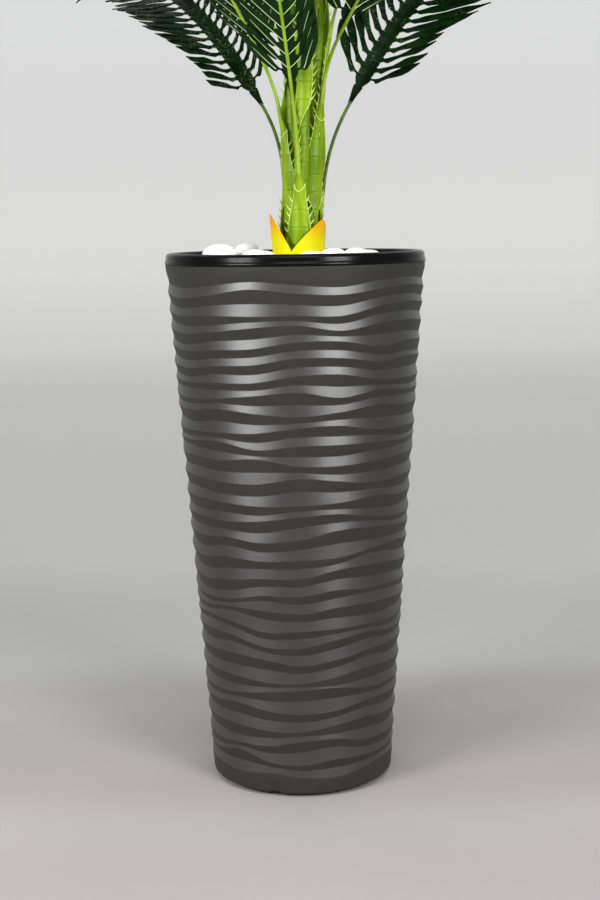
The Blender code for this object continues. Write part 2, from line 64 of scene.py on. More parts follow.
# Creases of the bands in tenths of a millimetre above the foot, from the top down: the upper and the lower
# edge of each band that faces up, at seven turns from 60 degrees left of the front to 60 degrees right of it
CREASES = (
    (5081, 5106, 5150, 5117, 5092, 5145, 5157), (4975, 5016, 5075, 5036, 5016, 5062, 5082),
    (4885, 4925, 4945, 4934, 4918, 4984, 4998), (4804, 4824, 4822, 4829, 4819, 4901, 4921),
    (4716, 4736, 4775, 4785, 4751, 4823, 4833), (4634, 4668, 4712, 4739, 4680, 4736, 4744),
    (4534, 4585, 4612, 4655, 4631, 4629, 4638), (4465, 4497, 4517, 4582, 4579, 4512, 4547),
    (4380, 4421, 4444, 4504, 4500, 4437, 4441), (4301, 4345, 4364, 4429, 4421, 4368, 4392),
    (4220, 4269, 4279, 4346, 4344, 4285, 4286), (4160, 4183, 4194, 4262, 4266, 4195, 4178),
    (4110, 4119, 4129, 4180, 4154, 4146, 4114), (4004, 4031, 4070, 4108, 4045, 4095, 4065),
    (3955, 3990, 3981, 3990, 3981, 4025, 4015), (3886, 3930, 3900, 3874, 3905, 3950, 3915),
    (3779, 3815, 3798, 3816, 3839, 3830, 3809), (3683, 3699, 3710, 3764, 3775, 3709, 3700),
    (3634, 3650, 3626, 3679, 3678, 3659, 3616), (3586, 3611, 3550, 3589, 3590, 3584, 3567),
    (3536, 3516, 3496, 3490, 3485, 3508, 3518), (3437, 3428, 3460, 3396, 3384, 3405, 3414),
    (3331, 3319, 3334, 3339, 3305, 3301, 3308), (3224, 3212, 3215, 3275, 3234, 3187, 3203),
    (3117, 3096, 3100, 3150, 3130, 3127, 3098), (3011, 3009, 2996, 3010, 3023, 3053, 3014),
    (2905, 2916, 2911, 2959, 2965, 2931, 2906), (2831, 2824, 2849, 2899, 2911, 2849, 2806),
    (2735, 2741, 2735, 2793, 2830, 2813, 2757), (2628, 2663, 2635, 2671, 2749, 2741, 2708),
    (2521, 2578, 2545, 2574, 2619, 2620, 2609), (2413, 2463, 2449, 2465, 2478, 2529, 2547),
    (2303, 2348, 2375, 2381, 2418, 2485, 2440), (2195, 2232, 2275, 2282, 2354, 2365, 2333),
    (2089, 2121, 2198, 2202, 2259, 2244, 2225), (2014, 2036, 2102, 2105, 2151, 2124, 2120),
    (1966, 1998, 2055, 2025, 2069, 2088, 2065), (1919, 1958, 1950, 1926, 1970, 1975, 1959),
    (1872, 1918, 1864, 1845, 1871, 1853, 1850), (1823, 1805, 1733, 1749, 1755, 1757, 1744),
    (1773, 1747, 1664, 1672, 1709, 1721, 1682), (1669, 1658, 1579, 1579, 1641, 1675, 1628),
    (1563, 1587, 1525, 1500, 1550, 1607, 1565), (1457, 1472, 1445, 1396, 1435, 1486, 1493),
    (1351, 1356, 1342, 1315, 1358, 1425, 1387), (1245, 1240, 1210, 1208, 1260, 1305, 1282),
    (1150, 1150, 1164, 1178, 1173, 1185, 1177), (1045, 1065, 1109, 1139, 1146, 1093, 1077),
    (989, 1020, 1015, 1026, 1040, 1035, 1027), (919, 955, 911, 886, 907, 954, 951),
    (828, 840, 812, 803, 839, 886, 846), (721, 723, 700, 704, 751, 779, 739),
    (611, 606, 625, 659, 666, 660, 632), (505, 530, 539, 601, 608, 539, 526),
    (438, 491, 465, 487, 525, 458, 435), (389, 451, 370, 347, 391, 371, 370),
    (333, 335, 321, 290, 301, 310, 321), (227, 219, 255, 219, 200, 240, 271),
)
CREASE_TURNS = 18  # knots round the planter, 20 degrees apart
BAND_PITCH = 0.0176
BAND_DEPTH = 0.0022
BAND_LEAST = 0.0013  # two creases come no nearer than this
BAND_SLOPE = 0.25  # the most that a band leans
CREASE = 0.00025  # half width of a crease's chamfer
SUPPORT = 0.00075
POT_COLUMNS = 288
SEAM_TURNS = (radians(-111.0), radians(69.0))
SEAM_WIDTH = 0.0005
SEAM_DEPTH = 0.00018
NOTCH_TURN = radians(-108)
NOTCH_WIDTH = 0.017
NOTCH_HEIGHT = 0.0030
NOTCH_REACH = 0.024

# Liner, filling and pebbles
RIM_RADIUS = 0.131
RIM_WIDTH = 0.010
LINER_WALL = 0.0025
LINER_DEPTH = 0.250
LINER_TAPER = 0.078
LINER_COLUMNS = 192
FILL_TOP = 0.513
CLUMP = (0.0065, 0.0)
BED_RINGS = ((0.101, 17), (0.083, 13), (0.064, 10), (0.045, 7))
BED_MIDDLE = 0.5215
PEBBLE_LENGTH = 0.034
PEBBLE_COUNT = 14
STONE_FLAT = 0.90  # the stones are this much flatter than the solids
# Each single stone's size against its solid, and how far it has settled from it in mm
STONES = ((0.92, -10, 0, -3), (0.95, -2, 0, -4), (0.80, -5, 0, -11), (0.90, -1, 0, -5), (1.0, 0, 0, -3),
          (1.0, -6, 0, 8), (1.24, 3, 0, -3), (1.18, 2, 0, -3), (0.90, -4, 0, -5), (0.86, 8, 0, -4),
          (0.92, 0, 0, -6), (1.0, 0, 0, -4), (1.0, 0, 0, 2), (0.85, -1, -2, -5))

# Stems
STEMS = {
    "right": {"at": (0.0158, 0.0040), "lean": (0.045, 0.012), "top": 1.020},
    "front": {"at": (0.0048, -0.0102), "lean": (0.042, -0.016), "top": 0.985},
    "back": {"at": (-0.0025, 0.0082), "lean": (0.012, 0.040), "top": 0.880},
}
STEM_RADIUS = 0.0063
STEM_TIP_RADIUS = 0.0046
STEM_FLARE = 0.0007
STEM_FOOT = 0.008
STEM_SKIN = 0.0006  # the ringed skin over the solid stem
STEM_POINT = 0.022  # length over which its tip closes
STEM_SIDES = 28

# Sheaths
SHEATH_LENGTH = 0.104
SHEATH_LIFT = 0.0023
SHEATH_GAP = 0.0007
SHEATH_THICK = 0.0011
SHEATH_SPREAD = radians(78)
SHEATH_WIDEST = 0.34
SHEATH_NECK = radians(24)
SHEATH_FOOT = radians(6)
SHEATH_FLAT = 1.28  # its section is this much wider than round
SHEATH_ROWS = 26
OUTER_POINTS = 15
INNER_POINTS = 7
RING_PITCH = 0.0172
RING_DEPTH = 0.00050
RING_HALF = 0.0010
RING_BOW = 0.0012  # a sheath's rings sag in the middle and lean to one side by these
RING_TILT = 0.0006
EDGE_RADIUS = 0.00050
BARB_PITCH = 0.0070
BARB_LENGTH = 0.0096
BARB_RADIUS = 0.00072

# Stalks
PETIOLE_RADIUS = 0.0026
PETIOLE_SLIM = 0.73  # the visible stalk against the solid one
PETIOLE_LEAN = radians(9)
RIB_TIP_RADIUS = 0.0010

# Blades
BLADE_THICK = 0.0009
BLADE_UNDER = BLADE_THICK * 0.6  # from a leaflet's middle down to its underside
LEAF_CROWN = 0.0007
BLADE_STRIP = 0.008
BLADE_FIRST = 0.05
BLADE_LAST = 0.97
LEAF_FIRST = 0.018  # the fine leaflets begin below the solid's first and end before its last
LEAF_LAST = 0.945
LEAFLET_PITCH = 0.0133
LEAFLET_LENGTH = 0.108
LEAFLET_START = radians(50)
LEAFLET_END = radians(32)
SLOT = (0.19, 0.30)  # the share of a leaflet that stands clear of its neighbours, and how far
LONG_SLOT = (0.50, 0.46)  # the same of the lowest leaflets of the lowest fronds
LEAFLET_SHARES = (0.0, 0.045, 0.095, 0.15, 0.22, 0.34, 0.47, 0.60, 0.72, 0.82, 0.91, 1.0)
KEEL = radians(15)
BLADE_LIFT = 0.0030
VEIN_RADIUS = 0.00060
VEIN_REACH = 0.66

# Fronds: stem, height of the neck, way it faces, lean where the blade starts, roll, stalk to there
FRONDS = (
    ("right", 0.590, 33, 35, 52, 0.116),
    ("back", 0.604, 128, 44, -46, 0.105),
    ("front", 0.606, -101, 32, 0, 0.094),
    ("back", 0.660, -149, 29, 12, 0.074),
    ("right", 0.675, -58, 48, -8, 0.089),
    ("front", 0.700, 174, 36, -6, 0.090),
    ("back", 0.722, 92, 34, 8, 0.100),
    ("right", 0.738, -3, 35, 10, 0.100),
    ("front", 0.764, -118, 28, 6, 0.090),
    ("back", 0.786, 160, 28, -10, 0.095),
    ("right", 0.802, 62, 28, 8, 0.095),
    ("front", 0.828, -72, 25, -6, 0.095),
    ("back", 0.850, 118, 20, 0, 0.095),
    ("right", 0.866, 22, 23, 6, 0.095),
    ("front", 0.892, -158, 20, -6, 0.095),
    ("right", 0.930, -28, 18, 4, 0.095),
    ("front", 0.956, -105, 12, 0, 0.095),
    ("right", 0.994, 70, 5, 0, 0.090),
)
FULLNESS = {(1, -1): 0.86, (1, 1): 0.76}  # fronds with shorter leaflets, by number and hand
SWEPT = {(2, 1): 17}  # those whose leaflets bend this many degrees more towards the blade's end
LOW_FRONDS = 9  # the first of them make one piece, the rest another
LOW_SHADED_FRONDS = 2  # the lowest fronds' stalks take a darker green, painted shade
BLADE_LOW = 0.400
BLADE_HIGH = 0.455
DROOP_LOW = radians(62)
DROOP_HIGH = radians(26)
SWAY = radians(9)
TRACK_STEP = 0.002

# Bracts: way each faces, height, half width, tip's tilt
BRACT_CENTRE = (0.0040, 0.0)
BRACT_RADIUS = 0.0240
BRACT_THICK = 0.0014
BRACT_POINT = 0.55
BRACTS = (("bract_left", -165, 0.064, 56, 4), ("bract_right", -30, 0.058, 78, 3))

# Camera: the photograph's
CAMERA_PLACE = (0.002, -1.5, 0.5707)
CAMERA_PITCH = 0.154
CAMERA_ROLL = 0.0152
CAMERA_LENS = 59.19


def smooth(share):
    share = min(1.0, max(0.0, share))
    return share * share * (3 - 2 * share)


def mix(a, b, share):
    return a + (b - a) * share


def polar(radius, turn, height=0.0):
    return Vector((radius * cos(turn), radius * sin(turn), height))


def add_object(name, data):
    made = bpy.data.objects.new(name, data)
    bpy.context.scene.collection.objects.link(made)
    return made


class Shape:
    """Points and faces of one piece, gathered part by part. A kind is a face's material."""

    def __init__(self):
        self.points = []
        self.faces = []
        self.kinds = []

    def rows(self, rows, kinds=0, caps=True, strips=None):
        """Skins rows of points, each a loop. kinds is one kind or one for each column. strips, if given,
        is one kind for each strip between two rows."""
        start = len(self.points)
        width = len(rows[0])
        if isinstance(kinds, int):
            kinds = [kinds] * width
        for row in rows:
            self.points.extend(row)
        for r in range(len(rows) - 1):
            low = start + r * width
            for i in range(width):
                j = (i + 1) % width
                self.faces.append((low + i, low + j, low + width + j, low + width + i))
                self.kinds.append(strips[r] if strips else kinds[i])
        if caps:
            last = start + (len(rows) - 1) * width
            self.faces.append(tuple(range(start + width - 1, start - 1, -1)))
            self.faces.append(tuple(range(last, last + width)))
            self.kinds += [kinds[0]] * 2

    def tube(self, path, radii, sides, kind=0):
        """A round tube along a path, with a radius at each of its points."""
        rings = []
        for k, point in enumerate(path):
            ahead = path[min(k + 1, len(path) - 1)] - path[max(k - 1, 0)]
            along = ahead.normalized()
            across = along.orthogonal() if k == 0 else across - along * across.dot(along)
            across = across.normalized()
            third = along.cross(across)
            ring = []
            for i in range(sides):
                turn = tau * i / sides
                ring.append(point + (across * cos(turn) + third * sin(turn)) * radii[k])
            rings.append(ring)
        self.rows(rings, kinds=kind)

    def piece(self, name, slot, materials, replaced, sharp=50):
        """Makes the object, which rides on the one body and stands for the named solids. materials are keys."""
        mesh = bpy.data.meshes.new(name)
        mesh.from_pydata(self.points, [], self.faces)
        for key in materials:
            mesh.materials.append(MATERIALS[key])
        mesh.polygons.foreach_set("material_index", self.kinds)
        bm = bmesh.new()
        bm.from_mesh(mesh)
        bmesh.ops.recalc_face_normals(bm, faces=bm.faces)
        bm.to_mesh(mesh)
        bm.free()
        mesh.shade_smooth()
        mesh.set_sharp_from_angle(angle=radians(sharp))
        obj = add_object(name, mesh)
        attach(obj, "root")
        if replaced:
            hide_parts(*replaced)


# Materials


class Paint:
    """A material, made node by node."""

    def __init__(self, name):
        self.material = bpy.data.materials.new(name)
        self.material.use_nodes = True
        self.tree = self.material.node_tree
        self.shader = self.tree.nodes["Principled BSDF"]

    def node(self, kind, links=(), **settings):
        """A node with its settings and incoming links, each (socket, where it comes from)."""
        node = self.tree.nodes.new(kind)
        for key, value in settings.items():
            if key in node.bl_rna.properties:
                setattr(node, key, value)
            else:
                node.inputs[key.replace("_", " ")].default_value = value
        for socket, source in links:
            self.tree.links.new(node.inputs[socket], source)
        return node

    def place(self, stretch=(1, 1, 1)):
        """The surface's own place in metres, stretched along the axes."""
        place = self.node("ShaderNodeTexCoord").outputs["Object"]
        return self.node("ShaderNodeMapping", [("Vector", place)], Scale=stretch).outputs["Vector"]

    def noise(self, place, scale, detail=3.0, rough=0.6):
        made = self.node("ShaderNodeTexNoise", [("Vector", place)], Scale=scale, Detail=detail, Roughness=rough)
        return made.outputs["Fac"]

    def between(self, value, low, high, out_low=0.0, out_high=1.0):
        """Maps a value from one range to another, held to it."""
        made = self.node("ShaderNodeMapRange", [("Value", value)],
                         From_Min=low, From_Max=high, To_Min=out_low, To_Max=out_high)
        return made.outputs["Result"]

    def math(self, operation, *values):
        """A sum of values, each a number or an output."""
        made = self.node("ShaderNodeMath", operation=operation)
        for socket, value in zip(made.inputs, values):
            if isinstance(value, float):
                socket.default_value = value
            else:
                self.tree.links.new(socket, value)
        return made.outputs["Value"]

    def blend(self, share, first, second):
        """Two colours mixed by a share. Either may be a colour or an output."""
        made = self.node("ShaderNodeMix", [("Factor", share)], data_type="RGBA")
        for socket, colour in (("A", first), ("B", second)):
            target = next(s for s in made.inputs if s.name == socket and s.type == "RGBA")
            if isinstance(colour, tuple):
                target.default_value = (*colour, 1)
            else:
                self.tree.links.new(target, colour)
        return next(s for s in made.outputs if s.type == "RGBA")

    def tones(self, value, tones):
        """Tones that pass into one another along a value, each given as (value, colour)."""
        low, high = tones[0][0], tones[-1][0]
        ramp = self.node("ShaderNodeValToRGB", [("Fac", self.between(value, low, high))])
        ramp.color_ramp.interpolation = "EASE"
        stops = ramp.color_ramp.elements
        while len(stops) < len(tones):
            stops.new(0.5)
        for stop, (at, tone) in zip(stops, tones):
            stop.position = (at - low) / (high - low)
            stop.color = (*tone, 1)
        return ramp.outputs["Color"]

    def finish(self, colour, gloss, rough, grain, strength, depth, specular=0.5):
        """Lays on the colour, a roughness that follows the gloss value through the four numbers of
        rough, and the relief of a grain."""
        relief = self.node("ShaderNodeBump", [("Height", grain)], Strength=strength, Distance=depth)
        inputs = self.shader.inputs
        self.tree.links.new(inputs["Base Color"], colour)
        self.tree.links.new(inputs["Roughness"], self.between(gloss, *rough))
        self.tree.links.new(inputs["Normal"], relief.outputs["Normal"])
        inputs["Specular IOR Level"].default_value = specular
        return self.material


# Moulded plastics: name, two near colours, stretch of their patches upwards, roughness and its swing,
# scales of the patches and of the grain, the grain's strength and depth, specular level
PLASTICS = {
    "leaf": ("leaf upper dark green painted sheen", (0.0006, 0.0045, 0.0008), (0.0038, 0.020, 0.0026),
             1, 0.30, 0.10, 70, 430, 0.8, 0.0007, 0.05),
    "under": ("leaf under green", (0.0025, 0.013, 0.0018), (0.0075, 0.031, 0.0035),
              1, 0.44, 0.08, 45, 420, 0.35, 0.0005, 0.12),
    "vein": ("vein pale green", (0.34, 0.55, 0.20), (0.46, 0.65, 0.30), 1, 0.42, 0.06, 90, 500, 0.2, 0.0003, 0.5),
    "stem": ("stem ringed green", (0.095, 0.195, 0.0020), (0.215, 0.330, 0.006),
             0.16, 0.42, 0.08, 120, 420, 0.3, 0.0003, 0.20),
    "sheath": ("sheath yellow green", (0.100, 0.205, 0.0020), (0.250, 0.380, 0.006),
               0.16, 0.40, 0.08, 120, 420, 0.3, 0.0003, 0.20),
    "stalk": ("stalk green", (0.19, 0.32, 0.010), (0.31, 0.46, 0.030), 1, 0.42, 0.08, 60, 400, 0.3, 0.0003, 0.3),
    # the lowest fronds' stalks: a darker green, painted shade
    "shaded stalk": ("stalk green painted shade", (0.035, 0.085, 0.006), (0.095, 0.18, 0.013),
                   1, 0.42, 0.08, 60, 400, 0.3, 0.0003, 0.3),
    "edge": ("sheath edge green", (0.34, 0.52, 0.03), (0.50, 0.64, 0.08), 1, 0.40, 0.06, 120, 500, 0.2, 0.0003, 0.5),
    "barb": ("barb pale green", (0.42, 0.58, 0.10), (0.56, 0.70, 0.18), 1, 0.40, 0.06, 120, 500, 0.2, 0.0003, 0.5),
    "liner": ("liner gloss black", (0.0020, 0.0020, 0.0020), (0.0045, 0.0042, 0.0042),
              4, 0.21, 0.05, 30, 300, 0.08, 0.0003, 0.11),
}
# the pale green of the leaf's specks, a painted sheen
LEAF_PAINTED_SHEEN = (0.10, 0.15, 0.075)
MATERIALS = {}  # by key, once made


def plastic(key):
    """Two near colours in soft patches, uneven gloss and a fine grain. The leaf has clusters of pale specks in its
    colour, a painted sheen that stands in for glints of light.
    """
    name, colour, other, stretch, rough, swing, patch, grain, strength, depth, specular = PLASTICS[key]
    paint = Paint(name)
    place = paint.place((1, 1, stretch))
    base = paint.blend(paint.between(paint.noise(place, patch, 5.0), 0.32, 0.68), colour, other)
    fine = paint.noise(place, grain)
    # painted sheen: pale specks in clusters laid into the upper leaf's colour
    if key == "leaf":
        clusters = paint.between(paint.noise(place, 34), 0.48, 0.60)
        sheen_specks = paint.between(paint.noise(place, 520, 2.0, 0.5), 0.58, 0.68)
        base = paint.blend(paint.math("MULTIPLY", clusters, sheen_specks), base, LEAF_PAINTED_SHEEN)
    return paint.finish(base, fine, (0.3, 0.7, rough - swing, rough + swing), fine, strength, depth, specular)


def planter_material(name, dark, light, rough, specular):
    """Dark grey plastic with fine level streaks, a speckle and uneven gloss."""
    paint = Paint(name)
    streaks = paint.noise(paint.place((1, 1, 7)), 60, 4.0, 0.65)
    speckle = paint.noise(paint.place(), 800, 2.0)
    colour = paint.blend(paint.between(streaks, 0.30, 0.70), dark, light)
    dusty = paint.blend(paint.between(speckle, 0.58, 0.80, 0.0, 0.5), colour, tuple(c * 2.2 for c in light))
    return paint.finish(dusty, streaks, (0.25, 0.75, rough - 0.02, rough + 0.03), speckle, 0.5, 0.0003, specular)


def pebble_material():
    """Polished white stone with faint clouds."""
    paint = Paint("pebble white stone")
    place = paint.place()
    clouds = paint.between(paint.noise(place, 34, 6.0, 0.65), 0.35, 0.65)
    fine = paint.noise(place, 420)
    paint.shader.inputs["Subsurface Weight"].default_value = 0.08
    paint.shader.inputs["Subsurface Radius"].default_value = (0.004, 0.003, 0.002)
    colour = paint.blend(clouds, (0.86, 0.86, 0.84), (0.93, 0.93, 0.92))
    return paint.finish(colour, fine, (0.3, 0.7, 0.28, 0.42), fine, 0.15, 0.0003)


def bract_material():
    """Yellow plastic that turns orange towards the tip, with faint upright veins."""
    paint = Paint("bract yellow to orange")
    place = paint.place()
    height = paint.node("ShaderNodeSeparateXYZ", [("Vector", place)]).outputs["Z"]
    wander = paint.math("MULTIPLY_ADD", paint.noise(place, 60), 0.022, height)
    colour = paint.blend(paint.between(wander, 0.560, 0.583), (0.62, 0.575, 0.002), (0.74, 0.27, 0.005))
    streaks = paint.noise(paint.place((1, 1, 0.12)), 420)
    veined = paint.blend(paint.between(streaks, 0.5, 0.75, 0.0, 0.25), colour, (0.64, 0.41, 0.003))
    return paint.finish(veined, streaks, (0.3, 0.7, 0.40, 0.52), streaks, 0.3, 0.0004, 0.10)


def filling_material():
    """Dark rough foam and cement."""
    paint = Paint("filling dark foam")
    crumbs = paint.noise(paint.place(), 120, 6.0, 0.7)
    colour = paint.blend(paint.between(crumbs, 0.35, 0.65), (0.012, 0.010, 0.008), (0.05, 0.04, 0.03))
    return paint.finish(colour, crumbs, (0.3, 0.7, 0.85, 1.0), crumbs, 0.8, 0.002)


def make_materials():
    for key in PLASTICS:
        MATERIALS[key] = plastic(key)
    # the up-facing bands are satin and a little lighter grey than the matte ground: the gloss is the plastic's, the
    # lighter grey is painted light
    MATERIALS["planter"] = planter_material(
        "planter matte ground", (0.0185, 0.0185, 0.0178), (0.0260, 0.0252, 0.0245), 0.55, 0.32)
    MATERIALS["planter painted light band"] = planter_material(
        "planter satin bands painted lighter", (0.0195, 0.0188, 0.0188), (0.0295, 0.0275, 0.0268), 0.36, 0.68)
    MATERIALS["pebble"] = pebble_material()
    MATERIALS["bract"] = bract_material()
    MATERIALS["filling"] = filling_material()


# Planter, liner, filling and pebbles


def pot_radius(height):
    return mix(POT_FOOT_RADIUS, POT_TOP_RADIUS, height / (POT_HEIGHT - RIM_HEIGHT))


def crease_knots():
    """Each crease's heights round the planter: the front's, a gap, the same again behind, a gap."""
    rng = random.Random(3)
    knots = []
    for row in CREASES:
        gaps = [[mix(row[-1], row[0], share) + rng.uniform(-10, 10) for share in (1 / 3, 2 / 3)] for _ in range(2)]
        knots.append([height * 0.0001 for height in (*row, *gaps[0], *row, *gaps[1])])
    return knots


def crease_heights(knots, turn):
    """Heights of the creases from the foot up at one turn: crest, valley, crest, valley and so on."""
    at = ((degrees(turn) + 150) % 360) / 20
    k = int(at)
    t = at - k
    heights = []
    for row in reversed(knots):
        a, b, c, d = (row[(k + step) % CREASE_TURNS] for step in (-1, 0, 1, 2))
        curve = (c - a) * t + (2 * a - 5 * b + 4 * c - d) * t * t + (3 * b - a - 3 * c + d) * t * t * t
        heights.append(b + curve / 2)
    for j in range(1, len(heights)):
        heights[j] = max(heights[j], heights[j - 1] + BAND_LEAST)
    return heights


def pot_column(knots, turn, seam):
    """Points of the planter's outside from the foot up at one turn, and the kind of each strip above."""
    arch = notch_rise(turn)
    low = arch * 0.8 + FOOT_GAP
    rows = [(arch, FOOT_ROUND + FOOT_STEP), (low, FOOT_ROUND + FOOT_STEP - 0.0004)]
    for k in range(6):
        bend = pi / 2 * k / 5
        rise = FOOT_ROUND * (1 - cos(bend))
        rows.append((low + rise * (1 - low / FOOT_ROUND), FOOT_ROUND * (1 - sin(bend))))
    strips = [0] * len(rows)
    creases = crease_heights(knots, turn)
    ends = [rows[-1][0] + 0.001] + creases + [POT_HEIGHT - RIM_HEIGHT - CLEAR - 0.004]
    depths = [0.0] * len(ends)
    for j in range(2, len(ends) - 1, 2):
        depths[j] = BAND_DEPTH * min(1.1, 0.30 + 0.70 * (ends[j + 1] - ends[j - 1]) / BAND_PITCH)
        depths[j] = min(depths[j], BAND_SLOPE * (ends[j] - ends[j - 1]), BAND_SLOPE * (ends[j + 1] - ends[j]))
    for j in range(1, len(ends) - 1):
        for step, limit in ((-SUPPORT, 0.40), (-CREASE, 0.15), (CREASE, 0.15), (SUPPORT, 0.40)):
            other = j - 1 if step < 0 else j + 1
            gap = abs(ends[other] - ends[j])
            reach = min(abs(step), gap * limit)
            rows.append((ends[j] + copysign(reach, step), mix(depths[j], depths[other], reach / gap)))
        # the up-facing strips take the band material, painted a little lighter; the rest take the ground
        strips += [0, 0, 1, 1] if j % 2 else [1, 0, 0, 0]
    rows += [(ends[-1] - 0.002, 0.0), (POT_HEIGHT - RIM_HEIGHT - CLEAR, 0.0)]
    strips += [0, 0]
    return [polar(pot_radius(height) - inset - seam, turn, height) for height, inset in rows], strips


def notch_rise(turn):
    """How high the foot's edge is cut at a turn: a low arch left of the front."""
    across = (turn - NOTCH_TURN) * POT_FOOT_RADIUS / (NOTCH_WIDTH / 2)
    return NOTCH_HEIGHT * sqrt(max(0.0, 1 - across * across)) if abs(across) < 1 else 0.0


def pot_turns():
    """The columns' turns, with a narrow groove of three at each mould seam and close ones at the notch."""
    turns = [(tau * i / POT_COLUMNS - pi, 0.0) for i in range(POT_COLUMNS)]
    for seam in SEAM_TURNS:
        width = SEAM_WIDTH / POT_TOP_RADIUS
        turns = [t for t in turns if abs(t[0] - seam) > width * 2]
        turns += [(seam - width, 0.0), (seam, SEAM_DEPTH), (seam + width, 0.0)]
    half = NOTCH_WIDTH / 2 / POT_FOOT_RADIUS
    turns = [t for t in turns if abs(t[0] - NOTCH_TURN) > half]
    turns += [(NOTCH_TURN + half * k / 8, 0.0) for k in range(-8, 9)]
    return sorted(turns)


def make_planter():
    """One shell: the waved outside, the seat of the rim, the inside, the floor and the underside."""
    columns = []
    knots = crease_knots()
    inner_foot = pot_radius(POT_FLOOR) - BAND_DEPTH - POT_WALL
    middle = POT_FOOT_RADIUS * 0.3
    under_radius = POT_FOOT_RADIUS - FOOT_ROUND - NOTCH_REACH
    for turn, seam in pot_turns():
        hidden = [polar(POT_TOP_RADIUS - POT_WALL, turn, POT_HEIGHT - RIM_HEIGHT - CLEAR),
                  polar(inner_foot, turn, POT_FLOOR), polar(middle, turn, POT_FLOOR)]
        under = [polar(middle, turn), polar(under_radius, turn),
                 polar(under_radius + NOTCH_REACH * 0.1, turn, notch_rise(turn))]
        outside, strips = pot_column(knots, turn, seam)
        columns.append(under + outside + hidden)
    shape = Shape()
    shape.rows(list(zip(*columns)), strips=[0] * 3 + strips + [0] * 3)
    shape.piece("planter_shell", "planter", ["planter", "planter painted light band"], ["planter"])


def liner_radius(height):
    return RIM_RADIUS - RIM_WIDTH - LINER_TAPER * (POT_HEIGHT - height)


def make_liner():
    """The inner pot: a thin cup whose rim rolls over the planter's edge into a short skirt."""
    low = POT_HEIGHT - RIM_HEIGHT
    foot = POT_HEIGHT - LINER_DEPTH
    floor = foot + LINER_WALL
    profile = [(0.001, floor), (liner_radius(floor) - 0.004, floor), (liner_radius(floor), floor + 0.004)]
    profile += [(liner_radius(mix(floor + 0.004, low, k / 8)), mix(floor + 0.004, low, k / 8)) for k in range(1, 9)]
    roll_in, roll_out, roll_up = 0.0047, 0.0040, 0.0042
    middle = RIM_RADIUS - 0.0052
    profile.append((middle - roll_in - 0.0004, POT_HEIGHT - roll_up - 0.003))
    for k in range(13):
        bend = pi * k / 12
        reach = roll_in if bend < pi / 2 else roll_out
        profile.append((middle - reach * cos(bend), POT_HEIGHT - roll_up + roll_up * sin(bend)))
    profile += [(RIM_RADIUS - 0.0011, POT_HEIGHT - 0.0056), (RIM_RADIUS - 0.0009, POT_HEIGHT - 0.0072),
                (RIM_RADIUS - 0.0002, POT_HEIGHT - 0.0084), (RIM_RADIUS, POT_HEIGHT - 0.0098),
                (RIM_RADIUS - 0.0002, low + 0.0003), (RIM_RADIUS - 0.0010, low)]
    profile += [(liner_radius(low) + LINER_WALL, low), (liner_radius(foot) + LINER_WALL, foot + 0.002),
                (liner_radius(foot) + LINER_WALL - 0.003, foot), (0.001, foot)]
    shape = Shape()
    turns = [tau * i / LINER_COLUMNS for i in range(LINER_COLUMNS)]
    shape.rows([[polar(radius, turn, height) for turn in turns] for radius, height in profile])
    shape.piece("liner_cup", "liner", ["liner"], ["liner"], sharp=70)


def smooth_stone(bm, seed, levels):
    """Rounds a coarse closed stone and gives it slight hollows and swells."""
    bmesh.ops.remove_doubles(bm, verts=bm.verts, dist=0.00005)
    middle = sum((v.co for v in bm.verts), Vector()) / len(bm.verts)
    mesh = bpy.data.meshes.new("stone")
    bm.to_mesh(mesh)
    bm.free()
    obj = add_object("stone", mesh)
    rounder = obj.modifiers.new("round", "SUBSURF")
    rounder.levels = levels
    bpy.context.view_layer.update()
    rounded = bpy.data.meshes.new_from_object(obj.evaluated_get(bpy.context.evaluated_depsgraph_get()))
    bpy.data.objects.remove(obj)
    points = []
    for vert in rounded.vertices:
        away = vert.co - middle
        swell = 1.06 + 0.08 * noise.noise(away * 40 + Vector((seed * 3.7, 0, 0)))
        away.z *= STONE_FLAT
        points.append(middle + away * swell)
    faces = [tuple(p.vertices) for p in rounded.polygons]
    bpy.data.meshes.remove(rounded)
    return points, faces


def add_stone(shape, points, faces):
    start = len(shape.points)
    shape.points += points
    shape.faces += [tuple(start + i for i in face) for face in faces]
    shape.kinds += [0] * len(faces)


def stone_of_node(name, seed):
    """The smooth stone in place of a single solid pebble."""
    bm = bmesh.new()
    bm.from_mesh(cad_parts[name].data)
    size, *settled = STONES[seed]
    middle = sum((v.co for v in bm.verts), Vector()) / len(bm.verts)
    for vert in bm.verts:
        vert.co = middle + (vert.co - middle) * size + Vector(settled) * 0.001
    return smooth_stone(bm, seed, 3)


def free_stone(rng, centre, length, turn):
    """A smooth stone of its own, lying at a place."""
    bm = bmesh.new()
    bmesh.ops.create_uvsphere(bm, u_segments=8, v_segments=5, radius=0.5)
    lean = rng.uniform(-0.35, 0.35)
    tip = rng.uniform(-0.15, 0.15)
    wide, high = rng.uniform(0.72, 0.88), rng.uniform(0.50, 0.64)
    for vert in bm.verts:
        x, y, z = vert.co
        x, y, z = x * length, y * length * wide * (1 + lean * x), z * length * high * (1 + lean * x)
        z += x * tip
        vert.co = Vector((x * cos(turn) - y * sin(turn), x * sin(turn) + y * cos(turn), z))
        vert.co += centre
    return smooth_stone(bm, rng.uniform(0, 30), 2)


def ring_place(radius, turn, height):
    share = 1 - radius / liner_radius(FILL_TOP)
    return Vector((CLUMP[0] * share * 2, CLUMP[1], 0)) + polar(radius, turn, height)


